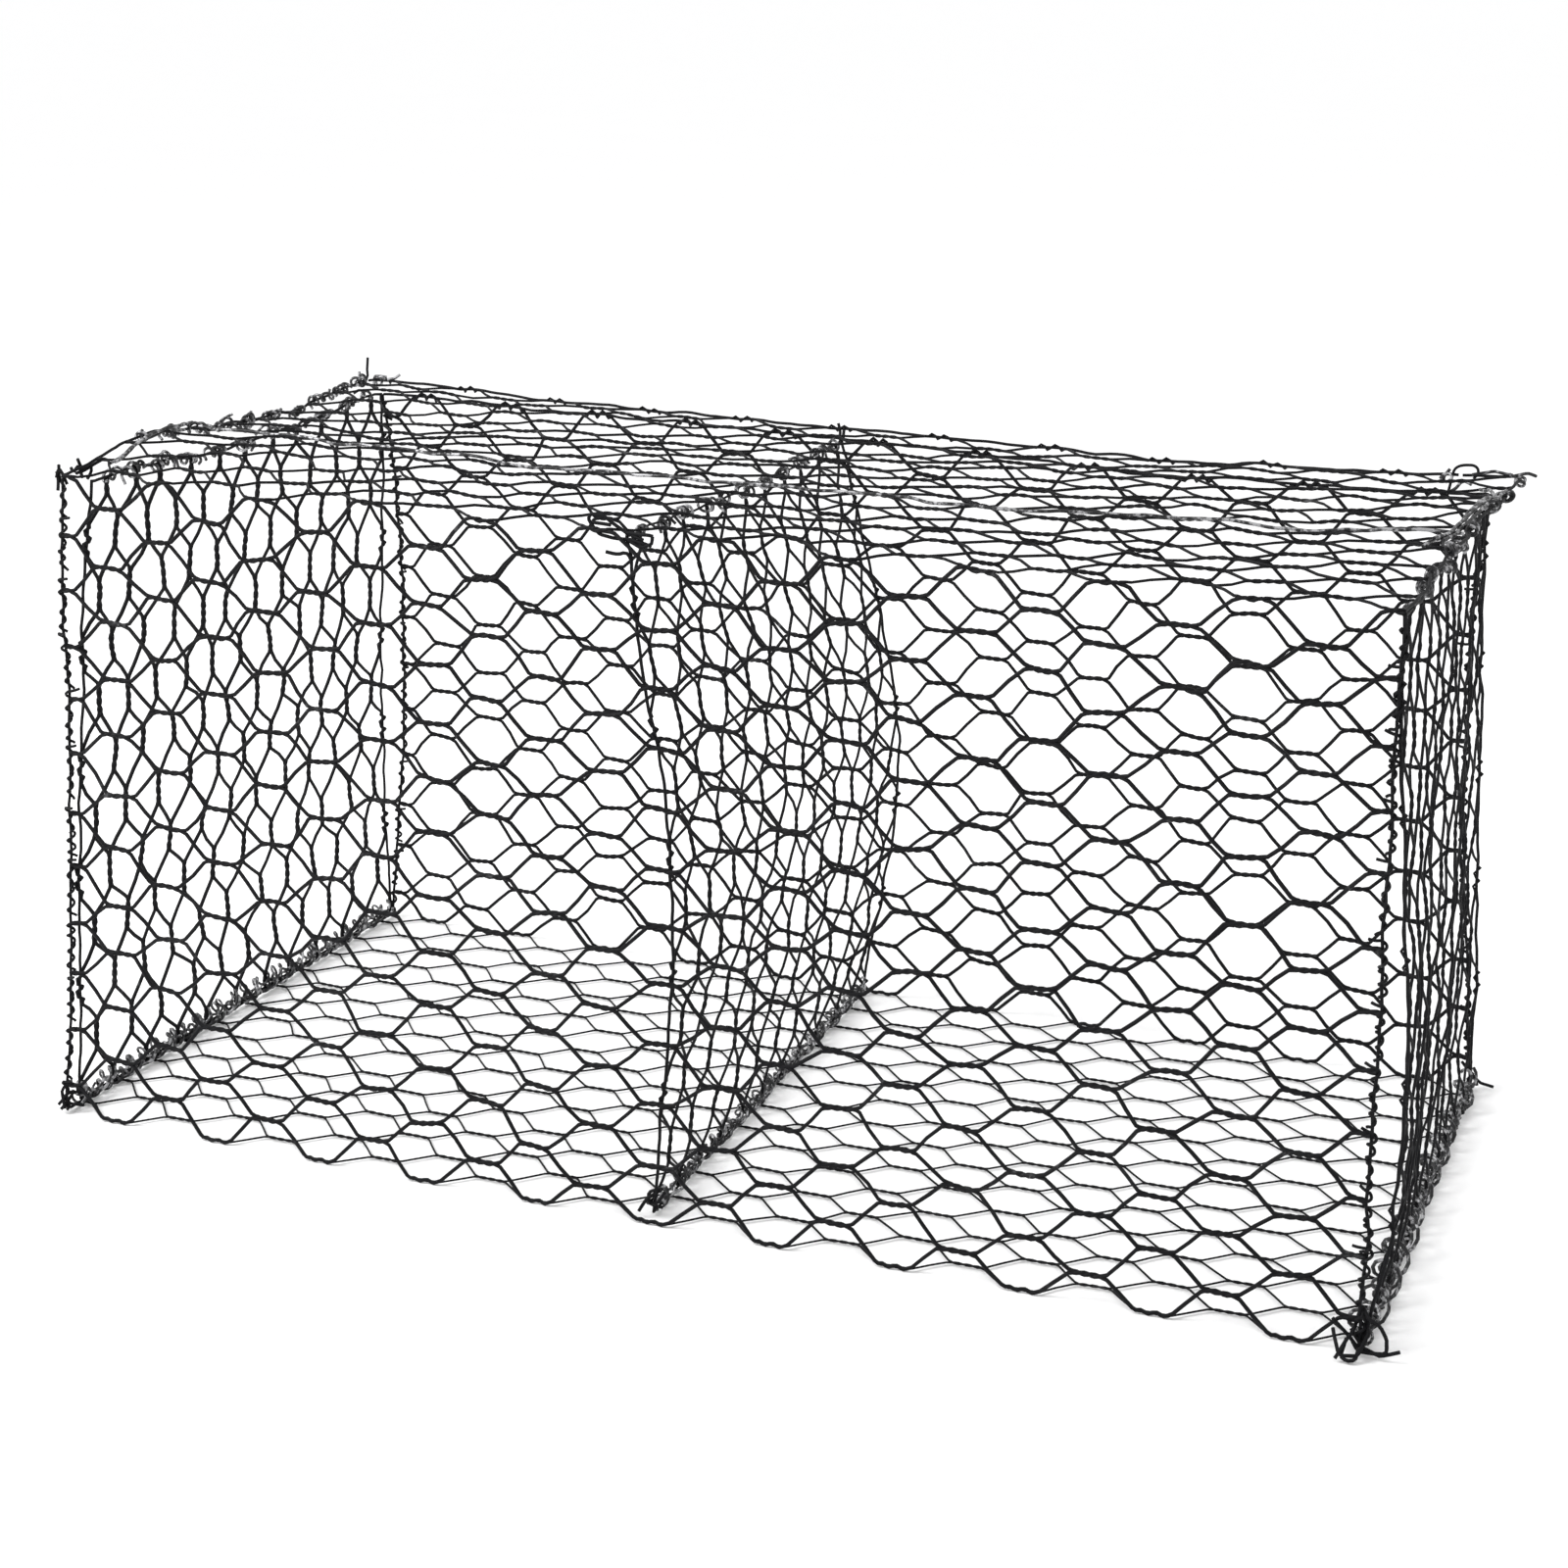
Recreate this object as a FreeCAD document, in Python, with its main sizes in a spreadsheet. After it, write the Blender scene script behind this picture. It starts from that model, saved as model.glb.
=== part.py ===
import FreeCAD, Part
import math
import os
import Sketcher

# Gabion basket: a box of double-twisted hexagonal wire mesh with a diaphragm that makes two cells.
# X runs along the basket, Y from front to back, Z up. The origin is the middle of the base, underneath.

Vector = FreeCAD.Vector
document = FreeCAD.newDocument("gabion_basket")

driving_sizes = {
    "length": 2000,
    "width": 1000,
    "height": 1000,
    "mesh_wire": 3.7,
    "edge_wire": 4.4,
    "lacing_wire": 3.2,
    "wire_sides": 6,
    "gap": 0.3,
    "cell_along": 165,
    "cell_across": 165,
    "twist_length": 72,
    "bend_radius": 6,
    "turns_per_cell": 3,
    "tail_inset": 85,
    "tail_rise": 45,
    "hook_inset": 90,
    "hook_rise": 50,
    "hook_width": 28,
    "hook_curl": 12,
    "hook_return": 22,
}

basket = document.addObject("Spreadsheet::Sheet", "basket")
for row, (word, number) in enumerate(driving_sizes.items(), start=1):
    basket.set(f"A{row}", word)
    basket.set(f"B{row}", str(number))
    basket.setAlias(f"B{row}", word)
document.recompute()


def derive(name, sizes, kind="App::PropertyFloat"):
    """Hold sizes worked out from the driving ones under their own names."""
    layout = document.getObject(name) or document.addObject("App::VarSet", name)
    for word, expression in sizes.items():
        layout.addProperty(kind, word, "Layout")
        layout.setExpression(word, expression)
        document.recompute()
    return layout


# Heights and stations that the pieces share. The lacing passes under the side wires, above the floor.
frame = derive("frame", {
    "half_length": "basket.length / 2",
    "half_width": "basket.width / 2",
    "edge_radius": "basket.edge_wire / 2",
    "wire_step": "basket.edge_wire + basket.gap",
    "loop_offset": "edge_radius + basket.gap + basket.lacing_wire / 2",
    "loop_floor": "basket.gap + basket.lacing_wire / 2",
    "side_x": "half_length - edge_radius",
    "side_x_left": "-side_x",
    "mesh_reach": "half_length - wire_step",
    "foot_z": "loop_floor + loop_offset",
    "back_y": "half_width - edge_radius",
    "front_y": "-back_y",
    "top_z": "basket.height - edge_radius",
    "rim_z": "basket.height",
    "lid_z": "basket.height + basket.gap",
    "lid_wire_z": "lid_z + edge_radius",
    "lid_front_y": "-half_width",
    "end_post_y": "back_y - wire_step",
    "end_post_z": "foot_z + basket.bend_radius",
    "end_wire_z": "foot_z + wire_step",
    "diaphragm_post_y": "half_width - basket.mesh_wire - basket.gap - edge_radius",
    "diaphragm_post_z": "basket.mesh_wire + basket.gap",
    "diaphragm_wire_z": "diaphragm_post_z + edge_radius",
    "tail_y": "half_width - basket.tail_inset",
    "tail_tip_z": "lid_wire_z + basket.tail_rise",
    "hook_x": "half_length - basket.hook_inset",
    "corner_end_x": "hook_x + wire_step",
    "level": "0",
    "corner_forward": "tail_y + wire_step - back_y",
    "hook_far_x": "hook_x + basket.hook_width",
    "hook_rise": "basket.hook_rise",
    "hook_tip": "basket.hook_rise - basket.hook_return",
})


def origin_part(body, role):
    return [item for item in body.Origin.OriginFeatures if item.Role == role][0]


def flat_sketch(body, name, plane):
    sketch = body.newObject("Sketcher::SketchObject", name)
    sketch.AttachmentSupport = [(origin_part(body, plane), "")]
    sketch.MapMode = "FlatFace"
    return sketch


def bind_point(sketch, line, end, place, layout):
    """Tie one end of a line to two sizes of a layout, named with their signs."""
    for direction, (sign, word) in zip(("DistanceX", "DistanceY"), place):
        value = sign * getattr(layout, word)
        index = sketch.addConstraint(Sketcher.Constraint(direction, -1, 1, line, end, value))
        sketch.setExpression(f"Constraints[{index}]", f"{sign} * {layout.Name}.{word}")


def profile(body, name, layout, corners):
    """Closed outline whose corners are tied to sizes of a layout."""
    sketch = flat_sketch(body, name, "XY_Plane")
    points = [Vector(*(sign * getattr(layout, word) for sign, word in corner), 0) for corner in corners]
    for start, end in zip(points, points[1:] + points[:1]):
        sketch.addGeometry(Part.LineSegment(start, end))
    count = len(points)
    for line in range(count):
        sketch.addConstraint(Sketcher.Constraint("Coincident", line, 2, (line + 1) % count, 1))
    for line, corner in enumerate(corners):
        bind_point(sketch, line, 1, corner, layout)
    return sketch


def mesh_panel(name, span, rise, turn, place):
    """Woven hexagonal mesh: a sheet one wire thick whose twists run along its own X."""
    grid = derive(f"{name}_grid", {"span": span, "rise": rise})
    derive(grid.Name, {
        "half_columns": f"max(1; round({grid.Name}.span / basket.cell_along / 2))",
        "rows": f"max(1; round({grid.Name}.rise / basket.cell_across))",
        "odd_rows": f"{grid.Name}.rows + 1",
        "even_columns": f"{grid.Name}.half_columns + 1",
    }, "App::PropertyInteger")
    derive(grid.Name, {
        "pitch": f"{grid.Name}.span / (2 * {grid.Name}.half_columns)",
        "row": f"{grid.Name}.rise / {grid.Name}.rows",
        "half_row": f"{grid.Name}.row / 2",
        "lean": f"{grid.Name}.pitch - basket.twist_length",
        "slant": f"sqrt(pow({grid.Name}.lean; 2) + pow({grid.Name}.half_row; 2))",
        "narrowing": f"basket.mesh_wire * {grid.Name}.slant / {grid.Name}.row",
        "reach": f"{grid.Name}.pitch - basket.twist_length / 2 - {grid.Name}.narrowing",
        "drop": f"{grid.Name}.half_row - basket.mesh_wire",
        "flat": f"{grid.Name}.reach - {grid.Name}.drop * {grid.Name}.lean / {grid.Name}.half_row",
        "even_low": "basket.mesh_wire",
        "even_high": f"{grid.Name}.half_row + {grid.Name}.drop",
        "odd_near": f"{grid.Name}.pitch - {grid.Name}.reach",
        "odd_far": f"{grid.Name}.pitch + {grid.Name}.reach",
        "odd_flat_near": f"{grid.Name}.pitch - {grid.Name}.flat",
        "odd_flat_far": f"{grid.Name}.pitch + {grid.Name}.flat",
        "zero": "0",
    })
    body = document.addObject("PartDesign::Body", name)
    zero, span_end, rise_end = (1, "zero"), (1, "span"), (1, "rise")
    sheet = profile(body, f"{name}_outline", grid,
                    [(zero, zero), (span_end, zero), (span_end, rise_end), (zero, rise_end)])
    pad = body.newObject("PartDesign::Pad", f"{name}_sheet")
    pad.Profile = sheet
    pad.setExpression("Length", "basket.mesh_wire")
    even = [((-1, "reach"), (1, "half_row")), ((-1, "flat"), (1, "even_low")),
            ((1, "flat"), (1, "even_low")), ((1, "reach"), (1, "half_row")),
            ((1, "flat"), (1, "even_high")), ((-1, "flat"), (1, "even_high"))]
    odd = [((1, "odd_near"), zero), ((1, "odd_flat_near"), (-1, "drop")),
           ((1, "odd_flat_far"), (-1, "drop")), ((1, "odd_far"), zero),
           ((1, "odd_flat_far"), (1, "drop")), ((1, "odd_flat_near"), (1, "drop"))]
    for kind, outline, columns, rows in (("even", even, "even_columns", "rows"),
                                         ("odd", odd, "half_columns", "odd_rows")):
        opening = body.newObject("PartDesign::Pocket", f"{name}_{kind}_opening")
        opening.Profile = profile(body, f"{name}_{kind}_hexagon", grid, outline)
        opening.Type = "ThroughAll"
        opening.Reversed = True
        opening.Refine = False
        document.recompute()
        openings = body.newObject("PartDesign::LinearPattern", f"{name}_{kind}_openings")
        openings.Originals = [opening]
        openings.Refine = False
        openings.Direction = (origin_part(body, "X_Axis"), [""])
        openings.Direction2 = (origin_part(body, "Y_Axis"), [""])
        openings.setExpression("Length", f"2 * {grid.Name}.pitch * ({grid.Name}.{columns} - 1)")
        openings.setExpression("Length2", f"{grid.Name}.row * ({grid.Name}.{rows} - 1)")
        openings.setExpression("Occurrences", f"{grid.Name}.{columns}")
        openings.setExpression("Occurrences2", f"{grid.Name}.{rows}")
        body.Tip = openings
        document.recompute()
    put(body, turn, place)
    return body


def put(item, turn, place):
    """Turn a piece, then tie its place to the frame."""
    item.Placement = FreeCAD.Placement(Vector(), turn)
    for axis, expression in zip("xyz", place):
        item.setExpression(f"Placement.Base.{axis}", expression)


def rod(name, turn, place, reach):
    """Straight wire along its own Z, many-sided to keep its facets few."""
    wire = document.addObject("Part::Prism", name)
    wire.setExpression("Polygon", "basket.wire_sides")
    wire.setExpression("Circumradius", "frame.edge_radius")
    wire.setExpression("Height", reach)
    put(wire, turn, place)
    return wire


def wire_section(body, name, route):
    """Many-sided section of an edge wire, square to the start of its route."""
    section = body.newObject("Sketcher::SketchObject", name)
    section.AttachmentSupport = [(route, "Edge1")]
    section.MapMode = "NormalToEdge"
    section.MapPathParameter = 0
    sides = int(basket.wire_sides)
    rim = Vector(frame.edge_radius, 0, 0)
    corners = [FreeCAD.Rotation(Vector(0, 0, 1), 360 / sides * side).multVec(rim) for side in range(sides)]
    for start, end in zip(corners, corners[1:] + corners[:1]):
        section.addGeometry(Part.LineSegment(start, end))
    circle = section.addGeometry(Part.Circle(Vector(), Vector(0, 0, 1), frame.edge_radius), True)
    section.addConstraint(Sketcher.Constraint("Coincident", circle, 3, -1, 1))
    index = section.addConstraint(Sketcher.Constraint("Radius", circle, frame.edge_radius))
    section.setExpression(f"Constraints[{index}]", "frame.edge_radius")
    section.addConstraint(Sketcher.Constraint("PointOnObject", 0, 1, -1))
    for side in range(sides):
        section.addConstraint(Sketcher.Constraint("Coincident", side, 2, (side + 1) % sides, 1))
        section.addConstraint(Sketcher.Constraint("PointOnObject", side, 1, circle))
    for side in range(1, sides):
        section.addConstraint(Sketcher.Constraint("Equal", 0, side))
    document.recompute()
    return section


def bent_run(body, name, plane, points, bends):
    """Wire swept along straight stretches with rounded right-angle bends, in one plane."""
    route = flat_sketch(body, f"{name}_route", plane)
    spots = [Vector(*(getattr(frame, word) for word in point), 0) for point in points]
    radii = [getattr(basket, bend) for bend in bends]
    starts = [spots[0]]
    ends = []
    for before, corner, after, radius in zip(spots, spots[1:], spots[2:], radii):
        ends.append(corner + (before - corner).normalize() * radius)
        starts.append(corner + (after - corner).normalize() * radius)
    ends.append(spots[-1])
    lines = [route.addGeometry(Part.LineSegment(start, end)) for start, end in zip(starts, ends)]
    for line, (start, end), (near, far) in zip(lines, zip(starts, ends), zip(points, points[1:])):
        level = near[1] == far[1]
        route.addConstraint(Sketcher.Constraint("Horizontal" if level else "Vertical", line))
        direction, word = ("DistanceY", near[1]) if level else ("DistanceX", near[0])
        index = route.addConstraint(Sketcher.Constraint(direction, -1, 1, line, 1, getattr(frame, word)))
        route.setExpression(f"Constraints[{index}]", f"frame.{word}")
    for line, end, point in ((lines[0], 1, points[0]), (lines[-1], 2, points[-1])):
        neighbour = points[1] if end == 1 else points[-2]
        direction, word = ("DistanceX", point[0]) if point[1] == neighbour[1] else ("DistanceY", point[1])
        index = route.addConstraint(Sketcher.Constraint(direction, -1, 1, line, end, getattr(frame, word)))
        route.setExpression(f"Constraints[{index}]", f"frame.{word}")
    for step, (bend, radius) in enumerate(zip(bends, radii)):
        start, end = ends[step], starts[step + 1]
        corner = spots[step + 1]
        centre = start + end - corner
        left_turn = (corner - start).cross(end - corner).z > 0
        first, last = (start, end) if left_turn else (end, start)
        angles = [math.atan2(spot.y - centre.y, spot.x - centre.x) for spot in (first, last)]
        circle = Part.Circle(centre, Vector(0, 0, 1), radius)
        arc = route.addGeometry(Part.ArcOfCircle(circle, *angles))
        route.addConstraint(Sketcher.Constraint("Tangent", lines[step], 2, arc, 1 if left_turn else 2))
        route.addConstraint(Sketcher.Constraint("Tangent", lines[step + 1], 1, arc, 2 if left_turn else 1))
        index = route.addConstraint(Sketcher.Constraint("Radius", arc, radius))
        route.setExpression(f"Constraints[{index}]", f"basket.{bend}")
    document.recompute()
    section = wire_section(body, f"{name}_section", route)
    run = body.newObject("PartDesign::AdditivePipe", f"{name}_wire")
    run.Profile = section
    run.Spine = (route, [])
    body.Tip = run
    document.recompute()
    return run


upright = FreeCAD.Rotation(Vector(1, 0, 0), 90)
across = FreeCAD.Rotation(Vector(0, 1, 0), -90)
flat = FreeCAD.Rotation()
along_x = FreeCAD.Rotation(Vector(0, 1, 0), 90)
along_y = FreeCAD.Rotation(Vector(1, 0, 0), -90)

# The woven body: base, front and back, and the lid that folds at the front top edge
long_span = "2 * frame.mesh_reach"
pieces = [
    mesh_panel("base_mesh", long_span, "basket.width", flat,
               ("-frame.mesh_reach", "-frame.half_width", "0")),
    mesh_panel("front_mesh", long_span, "basket.height - basket.mesh_wire", upright,
               ("-frame.mesh_reach", "basket.mesh_wire - frame.half_width", "basket.mesh_wire")),
    mesh_panel("back_mesh", long_span, "basket.height - basket.mesh_wire - frame.wire_step", upright,
               ("-frame.mesh_reach", "frame.half_width", "basket.mesh_wire")),
    mesh_panel("lid_mesh", long_span, "basket.width - frame.wire_step", flat,
               ("-frame.mesh_reach", "-frame.half_width", "frame.lid_z")),
]

# Two end panels and the diaphragm, each a mesh in its own frame of four wires
panels = {
    "left_end": ("-frame.side_x", "frame.end_post_y", "frame.end_post_z", "frame.end_wire_z"),
    "diaphragm": ("0", "frame.diaphragm_post_y", "frame.diaphragm_post_z", "frame.diaphragm_wire_z"),
    "right_end": ("frame.side_x", "frame.end_post_y", "frame.end_post_z", "frame.end_wire_z"),
}
for panel, (x, post_y, post_z, wire_z) in panels.items():
    inner_y = f"({post_y} - frame.edge_radius - basket.gap)"
    mesh_z = f"({wire_z} + frame.loop_offset + basket.lacing_wire / 2 + basket.gap)"
    pieces += [
        mesh_panel(f"{panel}_mesh", f"basket.height - frame.wire_step - {mesh_z}", f"2 * {inner_y}", across,
                   (f"{x} + basket.mesh_wire / 2", f"-{inner_y}", mesh_z)),
        rod(f"{panel}_front_post", flat, (x, f"-{post_y}", post_z), f"basket.height - {post_z}"),
        rod(f"{panel}_back_post", flat, (x, post_y, post_z), f"basket.height - {post_z}"),
        rod(f"{panel}_bottom_wire", along_y, (x, f"-{inner_y}", wire_z), f"2 * {inner_y}"),
        rod(f"{panel}_top_wire", along_y, (x, f"-{inner_y}", "frame.top_z"), f"2 * {inner_y}"),
    ]


def bent_wire(name, runs, place):
    wire = document.addObject("PartDesign::Body", name)
    for number, (plane, points, bends) in enumerate(runs):
        bent_run(wire, f"{name}_{number}", plane, points, bends)
    put(wire, flat, place)
    return wire


side_points = [("front_y", "rim_z"), ("front_y", "foot_z"), ("back_y", "foot_z"), ("back_y", "rim_z")]
side_run = [("YZ_Plane", side_points, ["bend_radius", "bend_radius"])]
tail_points = [("lid_front_y", "lid_wire_z"), ("tail_y", "lid_wire_z"), ("tail_y", "tail_tip_z")]
corner_points = [("side_x", "lid_front_y"), ("side_x", "back_y"), ("corner_end_x", "back_y")]
left_corner_points = [("side_x_left", "corner_forward"), ("side_x_left", "level"), ("level", "level")]
hook_points = [("level", "level"), ("hook_x", "level"), ("hook_x", "hook_rise"),
               ("hook_far_x", "hook_rise"), ("hook_far_x", "hook_tip")]
back_runs = [("XY_Plane", left_corner_points, ["bend_radius"]),
             ("XZ_Plane", hook_points, ["bend_radius", "hook_curl", "hook_curl"])]
back_wire_reach = "(frame.side_x - frame.edge_radius - basket.gap)"
pieces += [
    bent_wire("body_wire_left", side_run, ("-frame.side_x", "0", "0")),
    bent_wire("body_wire_right", side_run, ("frame.side_x", "0", "0")),
    rod("back_top_wire", along_x, (f"-{back_wire_reach}", "frame.back_y", "frame.top_z"),
        f"2 * {back_wire_reach}"),
    bent_wire("lid_wire_left", [("YZ_Plane", tail_points, ["bend_radius"])], ("-frame.side_x", "0", "0")),
    bent_wire("lid_wire_right", [("XY_Plane", corner_points, ["bend_radius"])],
              ("0", "0", "frame.lid_wire_z")),
    bent_wire("lid_back_wire", back_runs, ("0", "frame.back_y", "frame.lid_wire_z")),
]


def lacing(name, x, wire_z):
    """Wire wound round a panel's bottom wire, dipping between the twists of the base mesh."""
    pitch = document.base_mesh_grid.row / basket.turns_per_cell
    clear_y = frame.diaphragm_post_y - frame.wire_step - basket.lacing_wire
    turns = math.floor(clear_y / pitch)
    side = frame.loop_offset
    top = wire_z + frame.loop_offset
    points = []
    for turn in range(-turns, turns):
        start = (turn + 1 / basket.turns_per_cell) * pitch
        points += [Vector(x - side, start, frame.loop_floor), Vector(x + side, start, frame.loop_floor),
                   Vector(x + side, start, top), Vector(x - side, start + pitch, top)]
    rim = basket.lacing_wire / 2
    corners = [(-rim, 0), (0, -rim), (rim, 0), (0, rim), (-rim, 0)]
    section = Part.makePolygon([points[0] + Vector(0, y, z) for y, z in corners])
    wound = document.addObject("Part::Feature", name)
    wound.Shape = Part.Wire(Part.makePolygon(points)).makePipeShell([section], True, True, 1)
    return wound


pieces += [
    lacing("left_end_lacing", -frame.side_x, frame.end_wire_z),
    lacing("diaphragm_lacing", frame.level, frame.diaphragm_wire_z),
    lacing("right_end_lacing", frame.side_x, frame.end_wire_z),
]

document.recompute()
faults = [item.Name for item in document.Objects if {"Invalid", "Error"} & set(item.State)]
faults += [piece.Name for piece in pieces if piece.Shape.isNull() or not piece.Shape.isValid()]
if faults:
    raise RuntimeError(f"these did not build: {faults}")

os.makedirs("parts", exist_ok=True)
for piece in pieces:
    piece.Label = piece.Name
    piece.Shape.exportStep(f"parts/{piece.Label}.step")
    print(piece.Label, len(piece.Shape.Solids), round(piece.Shape.Volume))
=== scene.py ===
import math

import bmesh
import bpy
from mathutils import Matrix, Vector


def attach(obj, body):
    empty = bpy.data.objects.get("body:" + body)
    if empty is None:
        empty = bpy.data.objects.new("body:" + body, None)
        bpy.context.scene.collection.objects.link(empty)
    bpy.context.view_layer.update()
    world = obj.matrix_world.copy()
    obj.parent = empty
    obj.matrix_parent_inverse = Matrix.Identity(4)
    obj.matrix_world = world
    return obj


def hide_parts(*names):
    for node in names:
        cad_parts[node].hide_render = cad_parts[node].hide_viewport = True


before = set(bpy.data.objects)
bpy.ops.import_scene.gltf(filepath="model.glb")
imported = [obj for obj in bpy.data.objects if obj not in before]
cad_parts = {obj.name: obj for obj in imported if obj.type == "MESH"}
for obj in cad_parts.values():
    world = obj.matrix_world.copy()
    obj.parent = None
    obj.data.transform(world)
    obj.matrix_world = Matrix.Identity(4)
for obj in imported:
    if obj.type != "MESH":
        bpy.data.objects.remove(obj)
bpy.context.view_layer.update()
print("frame loaded:", len(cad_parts), "solids")


# one socket of a node tree, so that a sum of sockets is written as a sum
class Flow:
    def __init__(self, tree, socket=None):
        self.tree = tree
        self.socket = socket

    def node(self, kind, settings=None, inputs=None, out=0):
        made = self.tree.nodes.new(kind)
        for name, value in (settings or {}).items():
            if name == "stops":
                fillRamp(made.color_ramp, value)
            else:
                setattr(made, name, value)
        for key, value in (inputs or {}).items():
            if isinstance(value, Flow):
                self.tree.links.new(value.socket, made.inputs[key])
            else:
                made.inputs[key].default_value = value
        return Flow(self.tree, made.outputs[out])

    def math(self, operation, *terms):
        return self.node("ShaderNodeMath", {"operation": operation}, dict(enumerate(terms)))

    def vector(self, operation, *terms):
        return self.node("ShaderNodeVectorMath", {"operation": operation}, dict(enumerate(terms)))

    def scaled(self, factor):
        return self.node("ShaderNodeVectorMath", {"operation": "SCALE"}, {0: self, 3: factor})

    def join(self, x, y, z):
        return self.node("ShaderNodeCombineXYZ", inputs={0: x, 1: y, 2: z})

    def parts(self):
        split = self.node("ShaderNodeSeparateXYZ", inputs={0: self}).socket.node
        return [Flow(self.tree, socket) for socket in split.outputs]

    def __add__(self, other):
        return self.math("ADD", self, other)

    def __sub__(self, other):
        return self.math("SUBTRACT", self, other)

    def __rsub__(self, other):
        return self.math("SUBTRACT", other, self)

    def __mul__(self, other):
        return self.math("MULTIPLY", self, other)

    def __rmul__(self, other):
        return self.math("MULTIPLY", other, self)

    def __truediv__(self, other):
        return self.math("DIVIDE", self, other)

    def __mod__(self, other):
        return self.math("FLOORED_MODULO", self, other)

    def __lt__(self, other):
        return self.math("LESS_THAN", self, other)

    def __gt__(self, other):
        return self.math("GREATER_THAN", self, other)

    def __abs__(self):
        return self.math("ABSOLUTE", self)

    def floor(self):
        return self.math("FLOOR", self)

    def sine(self):
        return self.math("SINE", self)

    def cosine(self):
        return self.math("COSINE", self)

    def clamp(self):
        return self.math("MINIMUM", self.math("MAXIMUM", self, 0.0), 1.0)

    def blendTo(self, other, share):
        return self + (other - self) * share


def fillRamp(ramp, stops):
    while len(ramp.elements) > 2:
        ramp.elements.remove(ramp.elements[-1])
    while len(ramp.elements) < len(stops):
        ramp.elements.new(0.5)
    for element, (position, colour) in zip(ramp.elements, stops):
        element.position = position
        element.color = colour


# finishes: dark coated wire, worn brighter in patches and scuffs; on the lacing the bright grey
# patches are also painted highlights
wearAndHighlightSizes = {
    "patchShare": 0.55, "scuffShare": 0.45, "grainRise": 0.7, "scuffRise": 0.3,
    "depth": 0.0004, "polish": 0.1,
}


def wireFinish(name, look):
    material = bpy.data.materials.new(name)
    material.use_nodes = True
    tree = material.node_tree
    tree.nodes.clear()
    start = Flow(tree)
    spot = start.node("ShaderNodeTexCoord", out="Object")
    patches, scuffs, grain = (
        start.node("ShaderNodeTexNoise", inputs={"Vector": spot, "Scale": scale, "Detail": detail})
        for scale, detail in ((look["patchScale"], 3.0), (look["scuffScale"], 4.0),
                              (look["grainScale"], 2.0))
    )
    mixed = patches * wearAndHighlightSizes["patchShare"] + scuffs * wearAndHighlightSizes["scuffShare"]
    # wear mask: real scuffed wear on every wire, and on the lacing also painted highlight, where
    # its bright grey stands in for the shine along round wire
    wearAndHighlight = ((mixed - look["wearAndHighlightFrom"]) * look["wearAndHighlightRate"]).clamp()
    tone = start.node("ShaderNodeValToRGB", {"stops": look["tones"]}, {"Fac": wearAndHighlight})
    bump = start.node("ShaderNodeBump", inputs={
        "Strength": look["bump"], "Distance": wearAndHighlightSizes["depth"],
        "Height": grain * wearAndHighlightSizes["grainRise"] + scuffs * wearAndHighlightSizes["scuffRise"]})
    shader = start.node("ShaderNodeBsdfPrincipled", inputs={
        "Base Color": tone,
        "Metallic": wearAndHighlight * look["metalSwing"] + look["metal"],
        "Roughness": grain * look["roughSwing"] + look["rough"] - wearAndHighlight * wearAndHighlightSizes["polish"],
        "Specular IOR Level": look["shine"],
        "Normal": bump,
    })
    end = tree.nodes.new("ShaderNodeOutputMaterial")
    tree.links.new(shader.socket, end.inputs["Surface"])
    return material


meshWireLook = {
    "patchScale": 9.0, "scuffScale": 130.0, "grainScale": 900.0, "wearAndHighlightFrom": 0.50, "wearAndHighlightRate": 5.0,
    "tones": [(0.0, (0.004, 0.004, 0.005, 1)), (0.6, (0.011, 0.011, 0.012, 1)),
              (1.0, (0.06, 0.06, 0.063, 1))],
    "metal": 0.02, "metalSwing": 0.3, "rough": 0.52, "roughSwing": 0.3, "shine": 0.13, "bump": 0.35,
}
edgeWireLook = {
    "patchScale": 7.0, "scuffScale": 110.0, "grainScale": 800.0, "wearAndHighlightFrom": 0.52, "wearAndHighlightRate": 5.0,
    "tones": [(0.0, (0.004, 0.004, 0.005, 1)), (0.6, (0.010, 0.010, 0.011, 1)),
              (1.0, (0.05, 0.05, 0.052, 1))],
    "metal": 0.02, "metalSwing": 0.25, "rough": 0.5, "roughSwing": 0.3, "shine": 0.13, "bump": 0.3,
}
# lacing tones: the bright grey end is partly zinc wear and partly painted highlight standing in for
# the shine along round wires
lacingWearAndHighlightLook = {
    "patchScale": 46.0, "scuffScale": 150.0, "grainScale": 1000.0,
    "wearAndHighlightFrom": 0.44, "wearAndHighlightRate": 7.0,
    "tones": [(0.0, (0.006, 0.006, 0.007, 1)), (0.5, (0.05, 0.05, 0.052, 1)),
              (1.0, (0.36, 0.36, 0.37, 1))],
    "metal": 0.1, "metalSwing": 0.45, "rough": 0.36, "roughSwing": 0.28, "shine": 0.3, "bump": 0.35,
}
meshFinish = wireFinish("meshWire", meshWireLook)
edgeFinish = wireFinish("edgeWire", edgeWireLook)
lacingWearAndHighlightFinish = wireFinish("lacingWire", lacingWearAndHighlightLook)
print("finishes made")


# trees and pieces: a tree takes its inputs as {label: (kind of socket, first value)}
def startTree(name, inputs):
    tree = bpy.data.node_groups.new(name, "GeometryNodeTree")
    tree.interface.new_socket("Geometry", in_out="OUTPUT", socket_type="NodeSocketGeometry")
    tree.interface.new_socket("Geometry", in_out="INPUT", socket_type="NodeSocketGeometry")
    for label, (kind, value) in inputs.items():
        item = tree.interface.new_socket(label, in_out="INPUT", socket_type="NodeSocket" + kind)
        if value is not None:
            item.default_value = value
    entry = tree.nodes.new("NodeGroupInput")
    return Flow(tree), {socket.name: Flow(tree, socket) for socket in entry.outputs if socket.name}


def endTree(start, geometry):
    end = start.tree.nodes.new("NodeGroupOutput")
    start.tree.links.new(geometry.socket, end.inputs[0])
    return start.tree


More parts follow.
